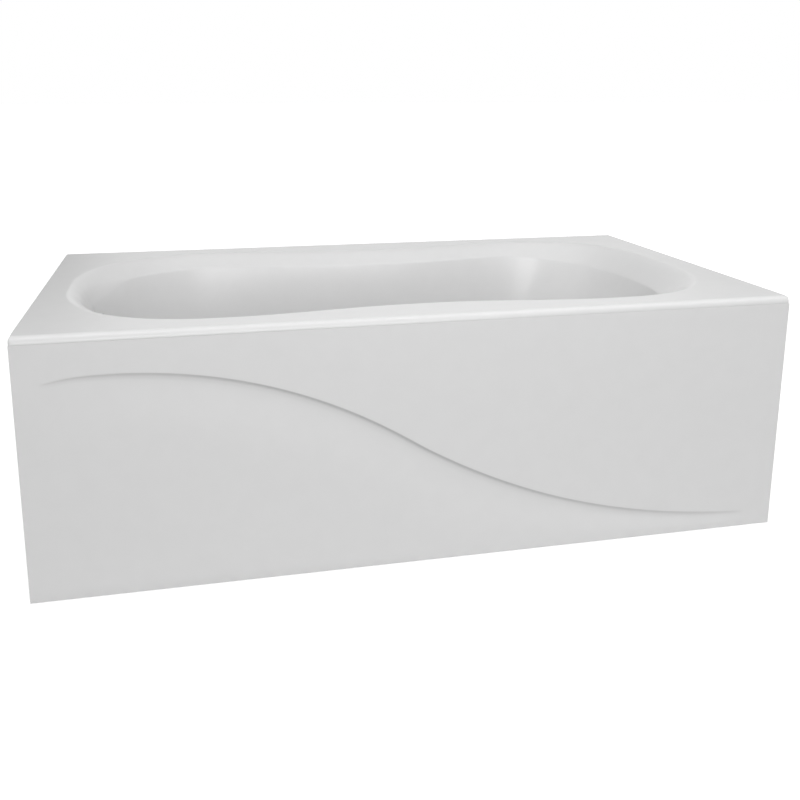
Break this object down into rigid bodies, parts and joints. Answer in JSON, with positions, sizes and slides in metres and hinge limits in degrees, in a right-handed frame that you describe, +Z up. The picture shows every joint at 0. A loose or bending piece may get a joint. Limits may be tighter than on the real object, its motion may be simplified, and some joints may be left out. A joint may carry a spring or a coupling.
{
  "type": "alcove bathtub",
  "caption": "Rectangular alcove bathtub with an hourglass well, a plain front panel with one long S line, a steel cradle on screw feet and a pop-up waste.",
  "frame": {"origin": "middle of the footprint on the floor", "axes": "+X along the tub towards the sloping backrest, -Y out of the front panel, +Z up"},
  "size_m": [1.524, 0.813, 0.508],
  "materials": {
    "acrylic": "glossy white sanitary acrylic",
    "panel_acrylic": "glossy white acrylic sheet",
    "resin": "rough glass-fibre resin",
    "board": "raw chipboard",
    "batten": "planed softwood",
    "galvanised": "galvanised steel",
    "zinc": "zinc-plated",
    "chrome": "polished chrome",
    "pipe": "moulded plastic",
    "black_plastic": "black moulded plastic",
    "rubber": "soft black rubber",
    "lever_plastic": "natural acetal"
  },
  "bodies": {
    "tub": {"tub_shell": "acrylic", "grp_backing": "resin", "base_board": "board", "rim_batten_front": "batten", "rim_batten_back": "batten", "rim_batten_left": "batten", "rim_batten_right": "batten", "frame_rail_front": "galvanised", "frame_rail_back": "galvanised", "cross_member_left": "galvanised", "cross_member_right": "galvanised", "upright_front_left": "galvanised", "upright_front_right": "galvanised", "upright_back_left": "galvanised", "upright_back_right": "galvanised", "frame_screws": "zinc", "board_screws": "zinc", "foot_bushes": "black_plastic", "lock_nuts": "zinc", "wall_hook_left": "galvanised", "wall_hook_right": "galvanised", "magnet_keepers": "galvanised", "panel_brackets": "galvanised", "drain_flange": "chrome", "drain_gasket": "rubber", "drain_body": "pipe", "lever_axle": "zinc", "drain_pipe": "pipe", "waste_tee": "pipe", "tailpiece": "pipe", "overflow_pipe": "pipe", "overflow_body": "pipe", "overflow_gasket": "rubber", "overflow_flange": "chrome", "slip_nuts": "pipe", "slip_washers": "rubber", "cable_sheath": "black_plastic", "cable_ties": "black_plastic"},
    "front_panel": {"front_panel": "panel_acrylic", "panel_strip_top": "batten", "panel_strip_bottom": "batten", "panel_magnets": "zinc"},
    "knob": {"overflow_knob": "chrome", "knob_spindle": "zinc"},
    "lever": {"lift_lever": "lever_plastic"},
    "plug": {"plug_cap": "chrome", "plug_seal": "rubber", "plug_pin": "zinc"},
    "foot_rail_front": {"foot_screw_rail_front": "zinc", "foot_pad_rail_front": "black_plastic"},
    "foot_rail_back": {"foot_screw_rail_back": "zinc", "foot_pad_rail_back": "black_plastic"},
    "foot_left_front": {"foot_screw_left_front": "zinc", "foot_pad_left_front": "black_plastic"},
    "foot_left_back": {"foot_screw_left_back": "zinc", "foot_pad_left_back": "black_plastic"},
    "foot_right_front": {"foot_screw_right_front": "zinc", "foot_pad_right_front": "black_plastic"},
    "foot_right_back": {"foot_screw_right_back": "zinc", "foot_pad_right_back": "black_plastic"}
  },
  "joints": [
    {"name": "panel_pull_off", "type": "slide", "parent": "tub", "child": "front_panel", "axis": [0, -1, 0], "range_m": [0, 0.15]},
    {"name": "knob_turn", "type": "hinge", "parent": "tub", "child": "knob", "pos_m": [-0.65419, 0, 0.408], "axis": [0.9815, 0, 0.1914], "range_deg": [0, 90]},
    {"name": "lever_swing", "type": "hinge", "parent": "tub", "child": "lever", "pos_m": [-0.45, 0, 0.068], "axis": [0, 1, 0], "range_deg": [0, 29]},
    {"name": "plug_lift", "type": "slide", "parent": "tub", "child": "plug", "axis": [0, 0, 1], "range_m": [0, 0.0101]},
    {"name": "foot_rail_front_screw", "type": "slide", "parent": "tub", "child": "foot_rail_front", "axis": [0, 0, -1], "range_m": [0, 0.02]},
    {"name": "foot_rail_back_screw", "type": "slide", "parent": "tub", "child": "foot_rail_back", "axis": [0, 0, -1], "range_m": [0, 0.02]},
    {"name": "foot_left_front_screw", "type": "slide", "parent": "tub", "child": "foot_left_front", "axis": [0, 0, -1], "range_m": [0, 0.02]},
    {"name": "foot_left_back_screw", "type": "slide", "parent": "tub", "child": "foot_left_back", "axis": [0, 0, -1], "range_m": [0, 0.02]},
    {"name": "foot_right_front_screw", "type": "slide", "parent": "tub", "child": "foot_right_front", "axis": [0, 0, -1], "range_m": [0, 0.02]},
    {"name": "foot_right_back_screw", "type": "slide", "parent": "tub", "child": "foot_right_back", "axis": [0, 0, -1], "range_m": [0, 0.02]}
  ],
  "couplings": [
    {"joint": "lever_swing", "follows": "knob_turn", "ratio": 0.3217},
    {"joint": "plug_lift", "follows": "knob_turn", "m_per_rad": 0.00636}
  ]
}
